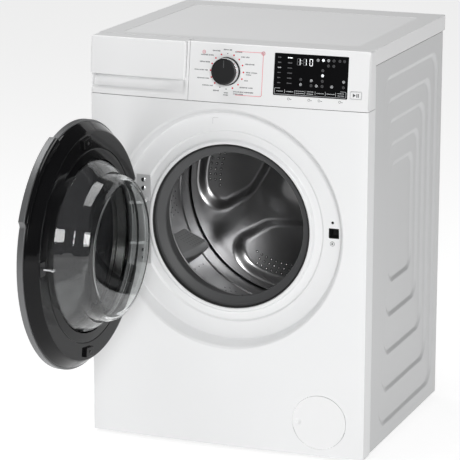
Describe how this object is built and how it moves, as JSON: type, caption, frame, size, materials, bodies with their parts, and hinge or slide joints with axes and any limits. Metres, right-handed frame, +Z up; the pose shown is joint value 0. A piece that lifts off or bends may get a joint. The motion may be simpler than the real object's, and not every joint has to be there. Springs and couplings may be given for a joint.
{
  "type": "front load washing machine",
  "caption": "Free-standing front loading washer with a hinged porthole door, sliding detergent drawer, turning programme dial and a belt-driven drum hung in a sprung tub.",
  "frame": {"origin": "on the floor under the centre of the bounding box, door open as at rest", "axes": "+X to the right seen from the front, +Y to the back, +Z up; the door and controls face -Y"},
  "size_m": [0.6, 1.0216, 0.85],
  "materials": {
    "white_paint": "smooth satin white enamel",
    "white_plastic": "satin moulded white plastic",
    "worktop_laminate": "fine-grained white laminate",
    "black_gloss": "high-gloss black",
    "display_glass": "tinted gloss panel",
    "rim_silver": "satin grey-silver trim",
    "clear_glass": "clear pressed glass",
    "drum_steel": "polished stainless steel",
    "zinc_steel": "galvanised steel",
    "cast_metal": "as-cast aluminium",
    "gasket_rubber": "matt grey rubber",
    "black_rubber": "matt black rubber",
    "grey_plastic": "moulded grey plastic",
    "tub_plastic": "moulded tub plastic",
    "concrete": "cast concrete",
    "drain_plastic": "moulded pale plastic"
  },
  "bodies": {
    "cabinet": {"front_panel": "white_paint", "side_panel_left": "white_paint", "side_panel_right": "white_paint", "back_panel": "zinc_steel", "rear_service_cover": "zinc_steel", "base_frame": "zinc_steel", "top_brace": "zinc_steel", "worktop_frame": "white_plastic", "worktop_board": "worktop_laminate", "foot_front_left": "black_rubber", "foot_front_right": "black_rubber", "foot_rear_left": "black_rubber", "foot_rear_right": "black_rubber", "control_panel": "white_plastic", "drawer_surround": "white_plastic", "display_window": "display_glass", "dispenser_housing": "grey_plastic", "door_hinge_bracket": "cast_metal", "door_lock": "black_rubber", "door_gasket": "gasket_rubber", "tub_spring_left": "zinc_steel", "tub_spring_right": "zinc_steel", "damper_cylinder_left": "grey_plastic", "damper_cylinder_right": "grey_plastic", "drain_pump": "grey_plastic", "sump_hose": "black_rubber", "inlet_valve": "white_plastic", "drain_outlet": "drain_plastic", "cord_gland": "black_rubber"},
    "door": {"door_rim": "rim_silver", "door_outer_cover": "black_gloss", "door_inner_frame": "black_gloss", "door_glass": "clear_glass", "door_latch_hook": "zinc_steel", "door_hinge_pin": "zinc_steel"},
    "tub": {"tub_front": "tub_plastic", "tub_rear": "tub_plastic", "counterweight_front": "concrete", "counterweight_top": "concrete", "heating_element": "drum_steel", "drum_bearing": "zinc_steel", "damper_rod_left": "zinc_steel", "damper_rod_right": "zinc_steel", "motor": "cast_metal", "drive_belt": "black_rubber"},
    "drum": {"drum_shell": "drum_steel", "drum_back": "drum_steel", "drum_lifter_1": "grey_plastic", "drum_lifter_2": "grey_plastic", "drum_lifter_3": "grey_plastic", "drum_spider": "cast_metal", "drum_shaft": "zinc_steel", "drum_pulley": "cast_metal"},
    "motor_rotor": {"motor_pulley": "zinc_steel"},
    "detergent_drawer": {"drawer_front": "white_plastic", "detergent_tray": "white_plastic"},
    "program_dial": {"program_knob": "black_gloss"},
    "start_key": {"start_button": "white_plastic"},
    "filter_cover": {"filter_flap": "white_plastic"},
    "pump_filter": {"pump_filter_cap": "grey_plastic"}
  },
  "joints": [
    {"name": "door_hinge", "type": "hinge", "parent": "cabinet", "child": "door", "pos_m": [-0.2145, -0.04616, 0.468], "axis": [0, 0, 1], "range_deg": [-38, 92]},
    {"name": "tub_float", "type": "slide", "parent": "cabinet", "child": "tub", "axis": [0, 0, 1], "range_m": [-0.008, 0.008], "stiffness_N_per_m": 16000, "springref_m": 0.02154, "deforming": ["tub_spring_left", "tub_spring_right", "sump_hose", "door_gasket"]},
    {"name": "drum_spin", "type": "hinge", "parent": "tub", "child": "drum", "pos_m": [0, 0.22184, 0.468], "axis": [0, 1, 0], "continuous": true},
    {"name": "motor_spin", "type": "hinge", "parent": "tub", "child": "motor_rotor", "pos_m": [0.105, 0.45784, 0.138], "axis": [0, 1, 0], "continuous": true},
    {"name": "drawer_slide", "type": "slide", "parent": "cabinet", "child": "detergent_drawer", "axis": [0, -1, 0], "range_m": [0, 0.19]},
    {"name": "knob_turn", "type": "hinge", "parent": "cabinet", "child": "program_dial", "pos_m": [0, -0.02816, 0.7945], "axis": [0, -0.9941, 0.1086], "continuous": true},
    {"name": "start_button_press", "type": "slide", "parent": "cabinet", "child": "start_key", "axis": [0, 1, 0], "range_m": [0, 0.0015], "stiffness_N_per_m": 900, "springref_m": -0.0012},
    {"name": "filter_cover_hinge", "type": "hinge", "parent": "cabinet", "child": "filter_cover", "pos_m": [0.258, -0.02916, 0.079], "axis": [0, 0, 1], "range_deg": [0, 58]},
    {"name": "pump_filter_turn", "type": "hinge", "parent": "cabinet", "child": "pump_filter", "pos_m": [0.2055, 0.01184, 0.079], "axis": [0, -1, 0], "range_deg": [0, 270]}
  ],
  "couplings": [
    {"joint": "motor_spin", "follows": "drum_spin", "ratio": 12.727}
  ]
}
